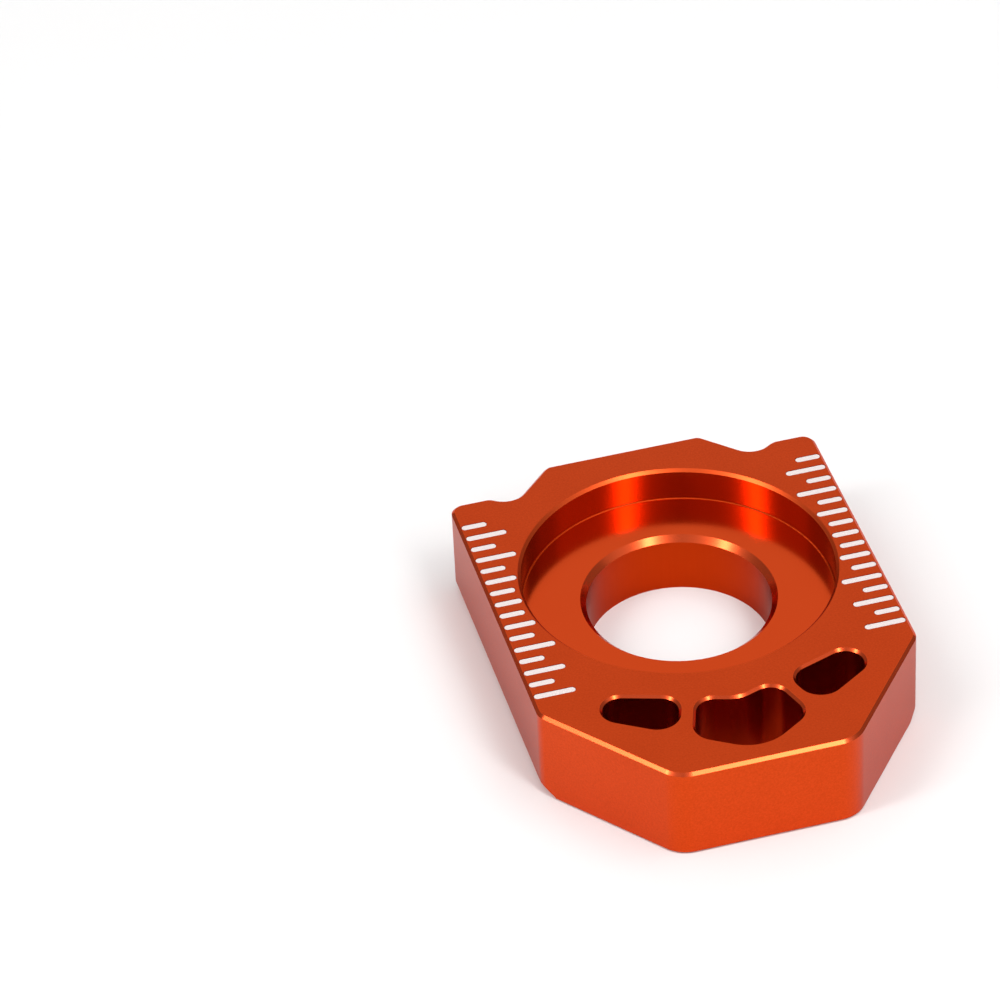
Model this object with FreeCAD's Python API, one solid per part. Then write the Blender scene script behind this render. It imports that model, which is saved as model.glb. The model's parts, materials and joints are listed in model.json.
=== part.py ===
import FreeCAD, Part
import math
import os

from FreeCAD import Vector

# Chain adjuster block for a motorcycle's rear axle, milled from one piece of plate.
# Millimetres. The origin is the axis of the axle bore, on the back face.
# +Z points out of the marked front face, +Y towards the adjuster bolt, X across the width.

# Plate and the walls that are left around the counterbore's rim
block_thickness = 13.8
side_wall = 4.4
bolt_end_wall = 5.2

# Axle bore and the counterbore for the axle's head or nut
axle_diameter = 25.0
axle_clearance = 0.2
counterbore_diameter = 42.6
counterbore_depth = 5.0
bore_chamfer = 0.8
counterbore_chamfer = 0.4
counterbore_corner_radius = 0.2

# Bolt end: a land between two coves, with a lug at each side
land_width = 22.0
land_rise = 4.3
lug_width = 5.8
cove_depth = 2.0
cove_run = 3.0
land_corner_radius = 1.5
cove_radius = 3.0
cove_shoulder_radius = 2.0
lug_corner_radius = 1.8

# Nose end: two slanted sides and a flat nose
shoulder_reach = 23.1
nose_width = 24.4
nose_wall = 2.1
shoulder_corner_radius = 2.5
nose_corner_radius = 4.4

# Edges
face_chamfer = 0.4
back_chamfer = 0.3
back_side_chamfer = 1.8

# Three slots: one V-shaped channel that two ribs divide.
# Its far wall is the one beside the counterbore, and its near wall is the one beside the nose.
channel_gap = 6.2
channel_depth = 10.4
channel_far_angle = 18.8
channel_near_angle = 32.9
channel_notch_radius = 4.5
channel_point_radius = 6.0
rib_station = 5.65
rib_width = 2.2
slot_end_radius = 2.53
slot_corner_radius = 2.5
slot_deep_corner_radius = 2.8
slot_chamfer = 0.34

# Scale marks, a row along each side
mark_count = 16
mark_pitch = 2.46
mark_first_reach = 17.35
mark_width = 1.05
mark_depth = 0.2
mark_edge_gap = 0.02
mark_short_length = 3.6
mark_long_length = 5.75
mark_rim_gap = 0.1

# How far a cutter runs past the face that it cuts through, and how near two things count as touching
overrun = 2.0
same_place = 1e-6

bore_radius = (axle_diameter + axle_clearance) / 2
counterbore_radius = counterbore_diameter / 2
web_thickness = block_thickness - counterbore_depth
rim_radius = counterbore_radius + counterbore_chamfer

half_width = rim_radius + side_wall
half_land = land_width / 2
half_nose = nose_width / 2
land_reach = rim_radius + bolt_end_wall
lug_reach = land_reach - land_rise
channel_far_reach = rim_radius + channel_gap
channel_near_reach = channel_far_reach + channel_depth
nose_reach = channel_near_reach + nose_wall


def corner_half_angle(before, corner, after):
    return (before - corner).getAngle(after - corner) / 2


def fitted_setbacks(points, radii):
    """How far each corner's round starts from it. Two rounds that would meet on a side share its length."""
    neighbours = [(points[i - 1], point, points[(i + 1) % len(points)]) for i, point in enumerate(points)]
    wanted = [radius / math.tan(corner_half_angle(*corner)) for corner, radius in zip(neighbours, radii)]
    shares = []
    for i, (before, corner, after) in enumerate(neighbours):
        on_side_before = max(wanted[i - 1] + wanted[i], same_place)
        on_side_after = max(wanted[i] + wanted[(i + 1) % len(wanted)], same_place)
        side_before = corner.distanceToPoint(before)
        side_after = corner.distanceToPoint(after)
        shares.append(min(1, side_before / on_side_before, side_after / on_side_after))
    return [setback * share for setback, share in zip(wanted, shares)]


def rounded_corner(before, corner, after, setback):
    """Start, middle and end of the arc that rounds one corner."""
    back = (before - corner).normalize()
    ahead = (after - corner).normalize()
    half_angle = corner_half_angle(before, corner, after)
    radius = setback * math.tan(half_angle)
    nearest = radius / math.sin(half_angle) - radius
    return corner + back * setback, corner + (back + ahead).normalize() * nearest, corner + ahead * setback


def rounded_face(corners):
    """A flat face from (point, radius) corners, with lines and tangent arcs. Radius 0 stays sharp."""
    points = [point for point, radius in corners]
    setbacks = fitted_setbacks(points, [radius for point, radius in corners])
    arcs = [
        rounded_corner(points[i - 1], point, points[(i + 1) % len(points)], setbacks[i])
        for i, point in enumerate(points)
    ]
    edges = []
    for i, (start, middle, end) in enumerate(arcs):
        next_start = arcs[(i + 1) % len(arcs)][0]
        if start.distanceToPoint(end) > same_place:
            edges.append(Part.Arc(start, middle, end).toShape())
        if end.distanceToPoint(next_start) > same_place:
            edges.append(Part.LineSegment(end, next_start).toShape())
    return Part.Face(Part.Wire(edges))


def plan_face(corners, z):
    """The same from (x, y, radius) corners, lying flat at height z."""
    return rounded_face([(Vector(x, y, z), radius) for x, y, radius in corners])


def mirrored(right_side):
    """Complete a symmetric outline from the corners on its right side, in order."""
    return right_side + [(-x, y, radius) for x, y, radius in reversed(right_side)]


def edges_at(shape, z):
    """The edges that lie wholly at height z."""
    return [
        e for e in shape.Edges
        if abs(e.BoundBox.ZMin - z) < same_place and abs(e.BoundBox.ZMax - z) < same_place
    ]


def plate():
    """The block's outline as a plate, with its front and back edges chamfered."""
    outline = mirrored([
        (half_nose, -nose_reach, nose_corner_radius),
        (half_width, -shoulder_reach, shoulder_corner_radius),
        (half_width, lug_reach, lug_corner_radius),
        (half_width - lug_width, lug_reach, cove_shoulder_radius),
        (half_width - lug_width - cove_run, lug_reach - cove_depth, cove_radius),
        (half_land, land_reach, land_corner_radius),
    ])
    solid = plan_face(outline, 0).extrude(Vector(0, 0, block_thickness))
    solid = solid.makeChamfer(face_chamfer, edges_at(solid, block_thickness))
    return solid.makeChamfer(back_chamfer, edges_at(solid, 0))


def back_side_wedge(side):
    """The corner that is cut off the back of one long side (side is 1 or -1)."""
    start = -nose_reach - overrun
    outer = side * (half_width + overrun)
    inner = side * (half_width - back_side_chamfer)
    top = back_side_chamfer + overrun
    corners = [
        Vector(inner, start, 0),
        Vector(outer, start, top),
        Vector(outer, start, -overrun),
        Vector(inner, start, -overrun),
        Vector(inner, start, 0),
    ]
    length = nose_reach + land_reach + 2 * overrun
    return Part.Face(Part.makePolygon(corners)).extrude(Vector(0, length, 0))


def turned_cut():
    """The bore, the counterbore and their chamfers, as one turned shape."""
    front = block_thickness
    profile = [
        (0, -overrun, 0),
        (bore_radius, -overrun, 0),
        (bore_radius, web_thickness - bore_chamfer, 0),
        (bore_radius + bore_chamfer, web_thickness, 0),
        (counterbore_radius, web_thickness, counterbore_corner_radius),
        (counterbore_radius, front - counterbore_chamfer, 0),
        (rim_radius, front, 0),
        (rim_radius, front + overrun, 0),
        (0, front + overrun, 0),
    ]
    section = rounded_face([(Vector(r, 0, z), corner) for r, z, corner in profile])
    return section.revolve(Vector(0, 0, 0), Vector(0, 0, 1), 360)


far_angle = math.radians(channel_far_angle)
near_angle = math.radians(channel_near_angle)

# The channel narrows away from the centre line: its width across the far wall at a station is
# (channel_depth - station * channel_taper) / channel_slant
channel_taper = math.cos(far_angle) * math.tan(near_angle) - math.sin(far_angle)
channel_slant = math.cos(far_angle) + math.sin(far_angle) * math.tan(near_angle)

# An outer slot ends in one full round, so its end is as wide as that round's two setbacks.
slot_end_width = slot_end_radius * (1 + math.tan(math.pi / 4 - (near_angle - far_angle) / 2))
slot_end_station = (channel_depth - slot_end_width * channel_slant) / channel_taper


def far_wall(station):
    """A point of the channel's far wall, station mm from the centre line along the wall."""
    return station * math.cos(far_angle), -channel_far_reach + station * math.sin(far_angle)


def near_wall(station):
    """The point of the near wall straight across the channel from far_wall(station)."""
    x, y = far_wall(station)
    width = (channel_depth - station * channel_taper) / channel_slant
    return x + width * math.sin(far_angle), y - width * math.cos(far_angle)


def middle_slot():
    right = [
        (*near_wall(rib_station), slot_deep_corner_radius),
        (*far_wall(rib_station), slot_corner_radius),
    ]
    left = [(-x, y, radius) for x, y, radius in reversed(right)]
    notch = (0, -channel_far_reach, channel_notch_radius)
    point = (0, -channel_near_reach, channel_point_radius)
    return right + [notch] + left + [point]


def outer_slot(side):
    inner_station = rib_station + rib_width
    corners = [
        (*near_wall(inner_station), slot_deep_corner_radius),
        (*near_wall(slot_end_station), slot_end_radius),
        (*far_wall(slot_end_station), slot_end_radius),
        (*far_wall(inner_station), slot_corner_radius),
    ]
    return [(side * x, y, radius) for x, y, radius in corners]


def slot_cut(corners):
    height = block_thickness + 2 * overrun
    return plan_face(corners, -overrun).extrude(Vector(0, 0, height))


def with_slots(block):
    """Cut the three slots through the block and chamfer their front rims."""
    outlines = [middle_slot(), outer_slot(1), outer_slot(-1)]
    cut = block.cut([slot_cut(corners) for corners in outlines])
    mouths = [plan_face(corners, block_thickness) for corners in outlines]
    rims = [
        e for e in edges_at(cut, block_thickness)
        if min(e.distToShape(mouth)[0] for mouth in mouths) < same_place
    ]
    return cut.makeChamfer(slot_chamfer, rims)


def mark_inner_end(y, length):
    """Centre of a mark's inner end: at its own length, or short of the counterbore's rim."""
    own_end = half_width - face_chamfer - mark_edge_gap - length + mark_width / 2
    clear_radius = rim_radius + mark_rim_gap + mark_width / 2
    if abs(y) >= clear_radius:
        return own_end
    return max(own_end, math.sqrt(clear_radius ** 2 - y ** 2))


def mark_cut(side, number):
    """One round-ended groove. The marks are counted from the bolt end, every second one is long."""
    y = mark_first_reach - number * mark_pitch
    length = mark_long_length if number % 2 else mark_short_length
    outer_end = half_width - face_chamfer - mark_edge_gap - mark_width / 2
    inner_end = mark_inner_end(y, length)
    floor = block_thickness - mark_depth
    height = mark_depth + overrun
    ends = [
        Part.makeCylinder(mark_width / 2, height, Vector(side * x, y, floor))
        for x in (inner_end, outer_end)
    ]
    corner = Vector(min(side * inner_end, side * outer_end), y - mark_width / 2, floor)
    middle = Part.makeBox(outer_end - inner_end, mark_width, height, corner)
    return middle.fuse(ends).removeSplitter()


def adjuster_block():
    block = with_slots(plate())
    block = block.cut([turned_cut(), back_side_wedge(1), back_side_wedge(-1)])
    marks = [mark_cut(side, number) for side in (1, -1) for number in range(mark_count)]
    return block.cut(marks)


os.makedirs("parts", exist_ok=True)
block = adjuster_block()
block.exportStep("parts/adjuster_block.step")
print("adjuster_block", len(block.Solids), "solid", round(block.Volume), "mm3", "valid", block.isValid())
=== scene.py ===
import json
import math

import bmesh
import bpy
from mathutils import Matrix, Vector


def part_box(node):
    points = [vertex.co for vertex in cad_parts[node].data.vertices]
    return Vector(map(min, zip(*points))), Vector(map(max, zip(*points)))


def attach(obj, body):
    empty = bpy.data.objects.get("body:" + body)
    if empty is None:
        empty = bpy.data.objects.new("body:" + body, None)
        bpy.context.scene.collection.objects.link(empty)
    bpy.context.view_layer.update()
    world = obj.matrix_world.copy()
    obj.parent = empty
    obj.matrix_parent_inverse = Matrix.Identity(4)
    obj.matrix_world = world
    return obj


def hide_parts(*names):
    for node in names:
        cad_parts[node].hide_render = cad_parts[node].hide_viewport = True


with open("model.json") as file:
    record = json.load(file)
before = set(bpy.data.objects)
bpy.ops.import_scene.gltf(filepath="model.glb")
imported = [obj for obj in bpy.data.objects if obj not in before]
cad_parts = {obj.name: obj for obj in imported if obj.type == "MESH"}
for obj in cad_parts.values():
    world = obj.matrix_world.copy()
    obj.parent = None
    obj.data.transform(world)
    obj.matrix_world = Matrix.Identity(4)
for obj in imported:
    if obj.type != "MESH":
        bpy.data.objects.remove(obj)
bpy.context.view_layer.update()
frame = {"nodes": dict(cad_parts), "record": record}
blockNode = frame["nodes"]["adjuster_block"]
mounts = {mount["name"]: mount for mount in frame["record"]["mounts"]}
slotOpenings = frame["record"]["physics"]["openings"]
mm = 0.001  # the scene is in metres

blockLow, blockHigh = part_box("adjuster_block")
recessRadius = mounts["axle_head_recess"]["dims"]["r_mm"] * mm
recessFloor = mounts["recess_floor"]["pos_m"][2]
print("frame loaded")


# Camera: it aims past the bolt end, just above the floor. Turn, elevation and roll are in degrees:
# a turn of 0 is straight in front of the nose, and a negative one is further to the left.
cameraSettings = {
    "aim": Vector((-15.15, 38.11, 0.3)) * mm,
    "distance": 737.8 * mm,
    "turn": -13.29,
    "elevation": 38.70,
    "roll": -3.08,
    "lens": 187.7,
    "sensor": 36.0,
    "clip": (0.05, 20.0),
}


def directionFrom(turn, elevation):  # towards what stands at this turn and elevation
    turn, elevation = math.radians(turn), math.radians(elevation)
    flat = math.cos(elevation)
    return Vector((math.sin(turn) * flat, -math.cos(turn) * flat, math.sin(elevation)))


def makeCamera(settings):
    data = bpy.data.cameras.new("camera")
    data.lens = settings["lens"]
    data.sensor_width = settings["sensor"]
    data.clip_start, data.clip_end = settings["clip"]
    camera = bpy.data.objects.new("camera", data)
    bpy.context.scene.collection.objects.link(camera)
    away = directionFrom(settings["turn"], settings["elevation"])
    level = away.to_track_quat("Z", "Y").to_matrix()
    rolled = level @ Matrix.Rotation(math.radians(settings["roll"]), 3, "Z")
    camera.location = settings["aim"] + away * settings["distance"]
    camera.rotation_mode = "QUATERNION"
    camera.rotation_quaternion = rolled.to_quaternion()
    bpy.context.scene.camera = camera


makeCamera(cameraSettings)
bpy.context.scene.view_settings.view_transform = "Standard"  # leaves the dye as saturated as it is
print("camera set")


# Nodes: what every material and the scale marks' tree are put together with
class Wire:  # an output of a node, so that sums and products of outputs read as plain maths
    def __init__(self, tree, socket):
        self.tree = tree
        self.socket = socket

    def node(self, kind, settings=None, values=None, output=0):
        made = self.tree.nodes.new(kind)
        for name, value in (settings or {}).items():
            setattr(made, name, value)
        connect(made, values or {})
        return Wire(self.tree, made.outputs[output])

    def maths(self, operation, *operands):
        return self.node("ShaderNodeMath", {"operation": operation}, dict(enumerate(operands)))

    def __add__(self, other):
        return self.maths("ADD", self, other)

    def __sub__(self, other):
        return self.maths("SUBTRACT", self, other)

    def __rsub__(self, other):
        return self.maths("SUBTRACT", other, self)

    def __mul__(self, other):
        return self.maths("MULTIPLY", self, other)

    __radd__ = __add__
    __rmul__ = __mul__


def connect(node, inputs):  # each input takes a wire or a plain value
    for name, value in inputs.items():
        if isinstance(value, Wire):
            value.tree.links.new(value.socket, node.inputs[name])
        else:
            node.inputs[name].default_value = value


def newMaterial(name):
    material = bpy.data.materials.new(name)
    material.use_nodes = True
    return material, material.node_tree.nodes["Principled BSDF"]


def objectPlace(material):
    tree = material.node_tree
    return Wire(tree, tree.nodes.new("ShaderNodeTexCoord").outputs["Object"])


def mixedColor(factor, color, otherColor):  # 6, 7 and 2 are a Mix node's colour sockets
    return factor.node(
        "ShaderNodeMix", {"data_type": "RGBA"}, {0: factor, 6: color, 7: otherColor}, output=2,
    )


def applyGrain(surface, grain, settings):  # it varies the roughness and gives a fine relief
    lowest = settings["roughness"] - settings["roughnessSpread"] / 2
    connect(surface, {
        "Roughness": grain * settings["roughnessSpread"] + lowest,
        "Normal": grain.node(
            "ShaderNodeBump", {}, {"Height": grain, "Distance": settings["grainDepth"], "Strength": 1.0},
        ),
    })


# Studio: a white floor, a dim room and soft boxes around the block. A box's turn and elevation are
# measured as the camera's are, about the target. Each of its layers has a width and a height in
# degrees, and a brightness. Layers lie over each other, so that a box is brightest in its middle.
studioSettings = {
    "floorReach": 4.0,
    "floorColor": (0.84, 0.835, 0.83, 1),
    "floorRoughness": 0.7,
    "roomColor": (0.30, 0.30, 0.305, 1),
    "target": Vector((0, 0, 10)) * mm,
    "boxDistance": 1.2,
    "layerStep": 0.002,
    "boxes": {
        "rightBox": {"turn": 22.5, "elevation": 48, "layers": [(8.5, 34, 8.6), (23, 38, 0.8)]},
        "rightGlow": {"turn": 52, "elevation": 53, "layers": [(50, 40, 0.30), (84, 36, 0.16)]},
        "leftBox": {"turn": -77, "elevation": 48, "layers": [(8.5, 34, 8.6), (23, 38, 0.8)]},
        "leftGlow": {"turn": -92, "elevation": 53, "layers": [(56, 40, 0.28), (92, 36, 0.16)]},
        "backPanel": {"turn": 167, "elevation": 42, "layers": [(48, 50, 0.50)]},
        "keyPanel": {"turn": 50, "elevation": 70, "layers": [(50, 34, 1.8)]},
        "topPanel": {"turn": -30, "elevation": 85, "layers": [(60, 56, 0.22)]},
        "middlePanel": {"turn": -28, "elevation": 52, "layers": [(66, 32, 0.20)]},
    },
}


def makeFloor(studio):
    mesh = bpy.data.meshes.new("floor")
    reach = studio["floorReach"]
    corners = [(-reach, -reach, 0), (reach, -reach, 0), (reach, reach, 0), (-reach, reach, 0)]
    mesh.from_pydata(corners, [], [(0, 1, 2, 3)])
    floor = bpy.data.objects.new("floor", mesh)
    bpy.context.scene.collection.objects.link(floor)
    material, surface = newMaterial("whiteTable")
    connect(surface, {"Base Color": studio["floorColor"], "Roughness": studio["floorRoughness"]})
    mesh.materials.append(material)


def makeRoom(studio):
    world = bpy.data.worlds.new("room")
    world.use_nodes = True
    connect(world.node_tree.nodes["Background"], {"Color": studio["roomColor"]})
    bpy.context.scene.world = world


def makeSoftBox(name, box, studio):
    away = directionFrom(box["turn"], box["elevation"])
    for number, (wide, high, brightness) in enumerate(box["layers"]):
        distance = studio["boxDistance"] + number * studio["layerStep"]
        width = 2 * distance * math.tan(math.radians(wide) / 2)
        height = 2 * distance * math.tan(math.radians(high) / 2)
        data = bpy.data.lights.new(name, "AREA")
        data.shape = "RECTANGLE"
        data.size, data.size_y = width, height
        data.energy = brightness * math.pi * width * height  # a larger box isn't a brighter one
        light = bpy.data.objects.new(name, data)
        bpy.context.scene.collection.objects.link(light)
        light.location = studio["target"] + away * distance
        light.rotation_euler = away.to_track_quat("Z", "Y").to_euler()


makeFloor(studioSettings)
makeRoom(studioSettings)
for boxName, softBox in studioSettings["boxes"].items():
    makeSoftBox(boxName, softBox, studioSettings)
print("studio set")


# Grain: what each way of working the metal leaves on a face
def blastedGrain(place, size):
    return place.node(
        "ShaderNodeTexNoise", {}, {"Vector": place, "Scale": 1 / size, "Detail": 2.0, "Roughness": 0.6},
    )


def turnedRings(place, size):  # fine grooves around the bore's axis
    flat = place.node("ShaderNodeVectorMath", {"operation": "MULTIPLY"}, {0: place, 1: (1, 1, 0)})
    radius = place.node("ShaderNodeVectorMath", {"operation": "LENGTH"}, {0: flat}, output=1)
    height = place.node("ShaderNodeSeparateXYZ", {}, {0: place}, output=2)
    return place.node(
        "ShaderNodeTexNoise", {"noise_dimensions": "1D"},
        {"W": (radius + height) * (1 / size), "Detail": 3.0, "Roughness": 0.7},
    )


def cutterStrokes(place, size, lengthInWidths=25):  # upright streaks that the side of a cutter leaves
    stretched = place.node("ShaderNodeMapping", {}, {"Vector": place, "Scale": (1, 1, 1 / lengthInWidths)})
    return place.node(
        "ShaderNodeTexNoise", {}, {"Vector": stretched, "Scale": 1 / size, "Detail": 2.0, "Roughness": 0.6},
    )


# Finishes of the block: one dye on eight kinds of surface, and painted light in five of them: the
# recessWall, bore, slot and recessCorner colours are darker copies of the dye, painted shade of the
# hollows, and the edge colour is a paler copy, painted highlight on the chamfers. The dye lies between
# color and paleColor, moved by broad clouds and, as far as the speckle says, by the surface's own
# grain. The edgeTint colours what is reflected at a low angle. What several finishes share is written
# first.
cloudSettings = {
    "size": 9 * mm,
    "share": 0.5,  # of the way from color to paleColor
}
machinedFace = {
    "edgeTint": (0.7, 0.6, 0.6, 1),
    "roughnessSpread": 0.04,
    "speckle": 0.5,
}
milledWall = {
    "grain": cutterStrokes,
    "grainSize": 0.45 * mm,
    "grainDepth": 0.0015 * mm,
    "edgeTint": (0.6, 0.7, 0.7, 1),
    "roughness": 0.30,
    "roughnessSpread": 0.08,
    "speckle": 0.5,
}
finishAndPaintedLightSettings = {
    "blasted": {
        "material": "blastedAnodising",
        "grain": blastedGrain,
        "grainSize": 0.26 * mm,
        "grainDepth": 0.012 * mm,
        "color": (0.59, 0.053, 0.0055, 1),
        "paleColor": (0.72, 0.072, 0.0100, 1),
        "edgeTint": (0.67, 0.89, 0.93, 1),
        "roughness": 0.34,
        "roughnessSpread": 0.06,
        "speckle": 1.8,
    },
    "turned": {
        **machinedFace,
        "material": "turnedAnodising",
        "grain": turnedRings,
        "grainSize": 0.11 * mm,
        "grainDepth": 0.0004 * mm,
        "color": (0.73, 0.068, 0.010, 1),
        "paleColor": (0.76, 0.076, 0.012, 1),
        "edgeTint": (0.8, 0.8, 0.8, 1),
        "roughness": 0.16,
    },
    # the counterbore's wall: a darker copy of the dye, painted shade of the counterbore that also dims its
    # streaks
    "recessWall": {
        **machinedFace,
        "material": "recessWallAnodisingPaintedShade",
        "grain": turnedRings,
        "grainSize": 0.11 * mm,
        "grainDepth": 0.0005 * mm,
        "color": (0.49, 0.100, 0.010, 1),
        "paleColor": (0.52, 0.108, 0.012, 1),
        "roughness": 0.19,
    },
    # the chamfers: a paler copy of the dye, painted highlight so that their highlights come out pale
    "edge": {
        **machinedFace,
        "material": "edgeAnodisingPaintedHighlight",
        "grain": blastedGrain,
        "grainSize": 0.12 * mm,
        "grainDepth": 0.0008 * mm,
        "color": (0.78, 0.090, 0.024, 1),
        "paleColor": (0.81, 0.100, 0.029, 1),
        "roughness": 0.20,
    },
    "rim": {
        **machinedFace,
        "material": "rimAnodising",
        "grain": turnedRings,
        "grainSize": 0.12 * mm,
        "grainDepth": 0.0008 * mm,
        "color": (0.77, 0.086, 0.018, 1),
        "paleColor": (0.80, 0.094, 0.021, 1),
        "roughness": 0.31,
    },
    # inside the bore: a darker copy of the dye, painted shade of the bore
    "bore": {
        **milledWall,
        "material": "boreAnodisingPaintedShade",
        "color": (0.45, 0.029, 0.0015, 1),
        "paleColor": (0.51, 0.036, 0.0020, 1),
    },
    # inside the slots: a darker copy of the dye, painted shade of the slots
    "slot": {
        **milledWall,
        "material": "slotAnodisingPaintedShade",
        "color": (0.45, 0.025, 0.0015, 1),
        "paleColor": (0.51, 0.032, 0.0020, 1),
    },
    # the round between the counterbore's wall and floor: a darker copy of the dye, painted shade that dims
    # its glint
    "recessCorner": {
        **machinedFace,
        "material": "recessCornerAnodisingPaintedShade",
        "grain": turnedRings,
        "grainSize": 0.11 * mm,
        "grainDepth": 0.0004 * mm,
        "color": (0.50, 0.047, 0.006, 1),
        "paleColor": (0.53, 0.052, 0.008, 1),
        "roughness": 0.50,
    },
}


def anodisingWithPaintedLight(finishWithPaintedLight, clouds):
    material, surface = newMaterial(finishWithPaintedLight["material"])
    place = objectPlace(material)
    cloud = place.node("ShaderNodeTexNoise", {}, {"Vector": place, "Scale": 1 / clouds["size"]})
    grain = finishWithPaintedLight["grain"](place, finishWithPaintedLight["grainSize"])
    centred = (1 - clouds["share"] - finishWithPaintedLight["speckle"]) / 2  # noise is a half on average, so is the sum
    paleness = cloud * clouds["share"] + grain * finishWithPaintedLight["speckle"] + centred
    dye = mixedColor(paleness, finishWithPaintedLight["color"], finishWithPaintedLight["paleColor"])
    connect(surface, {"Base Color": dye, "Metallic": 1.0, "Specular Tint": finishWithPaintedLight["edgeTint"]})
    applyGrain(surface, grain, finishWithPaintedLight)
    return material


# Block: a merged copy of the CAD solid, with smooth rounds and a finish for each kind of face;
# the hollows' finishes hold painted shade and the chamfers' finish painted highlight
bodySettings = {
    "samePlace": 0.0005 * mm,
    "flatAngle": 0.05,  # degrees, under which two facets become one face
    "sharpAngle": 30,  # degrees, from which an edge is crisp
    "largeFaceWeight": 100,  # keeps a round's shading off the flat faces beside it
    "rimAllowance": 0.45 * mm,  # the counterbore's chamfer and a little more
    "cornerRound": 0.25 * mm,  # the round between the counterbore's wall and floor and a little more
    "slotReach": 9 * mm,  # from a slot's middle to its walls at most
    "uprightLevelness": 0.5,  # levelness is 1 on a level face and 0 on an upright one
    "chamferLevelness": (0.6, 0.8),
}


def mergedCopy(node, settings):
    shape = bmesh.new()
    shape.from_mesh(node.data)
    bmesh.ops.remove_doubles(shape, verts=shape.verts, dist=settings["samePlace"])
    bmesh.ops.dissolve_limit(
        shape, angle_limit=math.radians(settings["flatAngle"]), verts=shape.verts, edges=shape.edges,
    )
    shape.normal_update()
    return shape


def distanceFromAxis(point):
    return Vector((point.x, point.y)).length


def inRecessCorner(face, settings):
    centre = face.calc_center_median()
    nearWall = recessRadius - settings["cornerRound"] < distanceFromAxis(centre) < recessRadius
    return nearWall and recessFloor < centre.z < recessFloor + settings["cornerRound"]


def facesOpening(face, opening, settings):
    low, high = (Vector(corner) for corner in opening["box_m"])
    inward = (low + high) / 2 - face.calc_center_median()
    inward.z = 0
    return inward.length < settings["slotReach"] and inward.dot(face.normal) > 0


def finishOf(face, settings):
    centre = face.calc_center_median()
    radius = distanceFromAxis(centre)
    insideRim = radius < recessRadius + settings["rimAllowance"]
    onFront = centre.z > blockHigh.z - settings["samePlace"]
    onBack = centre.z < blockLow.z + settings["samePlace"]
    levelness = abs(face.normal.z)
    upright = levelness < settings["uprightLevelness"]
    lowest, highest = settings["chamferLevelness"]
    if onFront or onBack:
        return "blasted"
    if inRecessCorner(face, settings):
        return "recessCorner"
    if lowest < levelness < highest:
        return "rim" if insideRim and radius > recessRadius else "edge"
    if insideRim and centre.z > recessFloor - settings["samePlace"]:
        return "recessWall" if upright else "turned"
    if insideRim:
        return "bore"
    if upright and any(facesOpening(face, opening, settings) for opening in slotOpenings):
        return "slot"
    return "blasted"


def makeBody(node, settings, finishesWithPaintedLight):
    shape = mergedCopy(node, settings)
    kinds = list(finishesWithPaintedLight)
    sharpAngle = math.radians(settings["sharpAngle"])
    for face in shape.faces:
        face.smooth = True
        face.material_index = kinds.index(finishOf(face, settings))
    for edge in shape.edges:
        inCorner = any(inRecessCorner(face, settings) for face in edge.link_faces)
        edge.smooth = inCorner or edge.calc_face_angle(0) < sharpAngle
    mesh = bpy.data.meshes.new("block")
    shape.to_mesh(mesh)
    shape.free()
    for finishWithPaintedLight in finishesWithPaintedLight.values():
        mesh.materials.append(anodisingWithPaintedLight(finishWithPaintedLight, cloudSettings))
    body = bpy.data.objects.new("anodised_block", mesh)
    bpy.context.scene.collection.objects.link(body)
    weighted = body.modifiers.new("evenShading", "WEIGHTED_NORMAL")
    weighted.keep_sharp = True
    weighted.weight = settings["largeFaceWeight"]
    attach(body, "root")
    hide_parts(node.name)
    return body


body = makeBody(blockNode, bodySettings, finishAndPaintedLightSettings)
print("block made:", len(body.data.polygons), "faces")


# Scale marks: pale bars in the grooves, one row along each side
markSettings = {
    "count": 16,
    "pitch": 2.46 * mm,
    "firstReach": 17.35 * mm,
    "width": 1.05 * mm,
    "shortLength": 3.6 * mm,
    "longLength": 5.75 * mm,
    "edgeGap": 0.42 * mm,  # from the block's side to a groove's outer end
    "rimGap": 0.5 * mm,  # from the counterbore's wall to a groove's inner end
    "clearance": 0.07 * mm,  # between a groove and its bar
    "grooveDepth": 0.2 * mm,
    "fill": 0.16 * mm,
    "roundSteps": 32,
    "color": (0.78, 0.69, 0.67, 1),
    "metallic": 0.25,
    "roughness": 0.5,
    "roughnessSpread": 0.12,
    "grainSize": 0.2 * mm,
    "grainDepth": 0.004 * mm,
}


def markMaterial(name, settings):
    material, surface = newMaterial(name)
    place = objectPlace(material)
    grain = place.node(
        "ShaderNodeTexNoise", {}, {"Vector": place, "Scale": 1 / settings["grainSize"], "Detail": 2.0},
    )
    connect(surface, {"Base Color": settings["color"], "Metallic": settings["metallic"]})
    applyGrain(surface, grain, settings)
    return material


def markSizes(settings):  # what the tree's inputs are called, and their values
    clearance = settings["clearance"]
    half = settings["width"] / 2 - clearance
    return {
        "Count": settings["count"],
        "Pitch": settings["pitch"],
        "First Reach": settings["firstReach"],
        "Half Width": half,
        "Short Length": settings["shortLength"] - 2 * clearance,
        "Long Length": settings["longLength"] - 2 * clearance,
        "Outer Centre": blockHigh.x - settings["edgeGap"] - clearance - half,
        "Clear Radius": recessRadius + settings["rimGap"] + clearance + half,
        "Floor": blockHigh.z - settings["grooveDepth"],
        "Fill": settings["fill"],
    }


def addInputs(tree, sizes):  # a named input for each size, as wires
    for label, value in sizes.items():
        kind = "NodeSocketInt" if isinstance(value, int) else "NodeSocketFloat"
        tree.interface.new_socket(label, in_out="INPUT", socket_type=kind)
    outputs = tree.nodes.new("NodeGroupInput").outputs
    return {label: Wire(tree, outputs[label]) for label in sizes}


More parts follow.
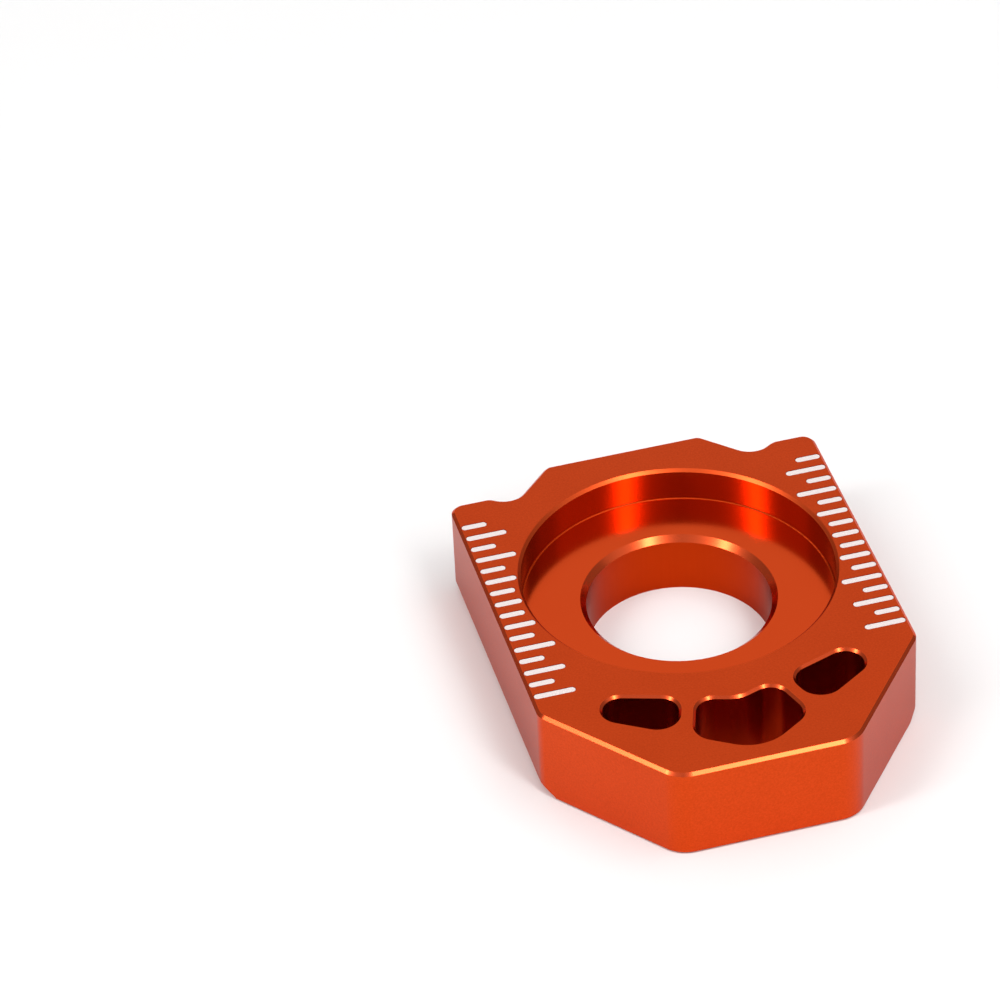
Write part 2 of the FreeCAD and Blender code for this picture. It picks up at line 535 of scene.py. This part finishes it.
def markTree(name, material, sizes, roundSteps):
    tree = bpy.data.node_groups.new(name, "GeometryNodeTree")
    tree.is_modifier = True
    tree.interface.new_socket("Geometry", in_out="OUTPUT", socket_type="NodeSocketGeometry")
    size = addInputs(tree, sizes)
    outer = size["Outer Centre"]
    node, maths = outer.node, outer.maths

    def vector(x, y, z):
        return node("ShaderNodeCombineXYZ", {}, {0: x, 1: y, 2: z})

    # a point at each mark's outer end, down the right row
    start = vector(outer, size["First Reach"], size["Floor"] + size["Fill"] * 0.5)
    line = node(
        "GeometryNodeMeshLine", {"mode": "OFFSET"},
        {"Count": size["Count"], "Start Location": start, "Offset": vector(0.0, size["Pitch"] * -1, 0.0)},
    )

    # how far inwards each mark runs from there: its own length, or less beside the counterbore
    position = node("GeometryNodeInputPosition")
    odd = maths("MODULO", node("GeometryNodeInputIndex"), 2)
    length = size["Short Length"] + odd * (size["Long Length"] - size["Short Length"])
    ownEnd = outer + size["Half Width"] * 2 - length
    reach = node("ShaderNodeSeparateXYZ", {}, {0: position}, output=1)
    room = size["Clear Radius"] * size["Clear Radius"] - reach * reach
    rimEnd = maths("SQRT", maths("MAXIMUM", room, 0.0))
    points = node(
        "GeometryNodeStoreNamedAttribute", {"data_type": "FLOAT", "domain": "POINT"},
        {"Geometry": line, "Name": "stretch", "Value": outer - maths("MAXIMUM", ownEnd, rimEnd)},
    )

    # a disc on each point, whose inner half is drawn inwards
    disc = node(
        "GeometryNodeMeshCylinder", {"fill_type": "NGON"},
        {"Vertices": roundSteps, "Radius": size["Half Width"], "Depth": size["Fill"]},
    )
    halfStep = math.pi / roundSteps  # so that no corner of a disc lies where it is parted
    discs = node(
        "GeometryNodeInstanceOnPoints", {},
        {"Points": points, "Instance": disc, "Rotation": (0, 0, halfStep)},
    )
    discs = node("GeometryNodeRealizeInstances", {}, {"Geometry": discs})
    across = node("ShaderNodeSeparateXYZ", {}, {0: position}, output=0)
    stretch = node("GeometryNodeInputNamedAttribute", {"data_type": "FLOAT"}, {"Name": "stretch"})
    right = node(
        "GeometryNodeSetPosition", {},
        {
            "Geometry": discs,
            "Selection": maths("LESS_THAN", across, outer),
            "Offset": vector(stretch * -1, 0.0, 0.0),
        },
    )

    # the left row is the right one's mirror image
    left = node("GeometryNodeTransform", {}, {"Geometry": right, "Scale": (-1, 1, 1)})
    left = node("GeometryNodeFlipFaces", {}, {"Mesh": left})
    rows = node("GeometryNodeJoinGeometry", {}, {"Geometry": right})
    connect(rows.socket.node, {"Geometry": left})  # the same input takes both rows
    rows = node("GeometryNodeRemoveAttribute", {}, {"Geometry": rows, "Name": "stretch"})
    rows = node("GeometryNodeRealizeInstances", {}, {"Geometry": rows})
    rows = node("GeometryNodeSetMaterial", {}, {"Geometry": rows, "Material": material})
    connect(tree.nodes.new("NodeGroupOutput"), {"Geometry": rows})
    return tree


def grownMesh(name, tree, sizes):  # what a Geometry Nodes tree makes, as a plain mesh
    carrier = bpy.data.objects.new(name + "Carrier", bpy.data.meshes.new(name + "Carrier"))
    bpy.context.scene.collection.objects.link(carrier)
    modifier = carrier.modifiers.new(name, "NODES")
    modifier.node_group = tree
    for item in tree.interface.items_tree:
        if item.in_out == "INPUT":
            modifier[item.identifier] = sizes[item.name]
    depsgraph = bpy.context.evaluated_depsgraph_get()
    mesh = bpy.data.meshes.new_from_object(carrier.evaluated_get(depsgraph))
    mesh.name = name
    carrier.modifiers.remove(modifier)
    bpy.data.objects.remove(carrier)
    return mesh


def makeMarks(settings):
    sizes = markSizes(settings)
    tree = markTree("scaleMarks", markMaterial("paleMarks", settings), sizes, settings["roundSteps"])
    marks = bpy.data.objects.new("scale_marks", grownMesh("scaleMarks", tree, sizes))
    bpy.context.scene.collection.objects.link(marks)
    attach(marks, "root")
    return marks


marks = makeMarks(markSettings)
print("marks made:", len(marks.data.polygons), "faces")
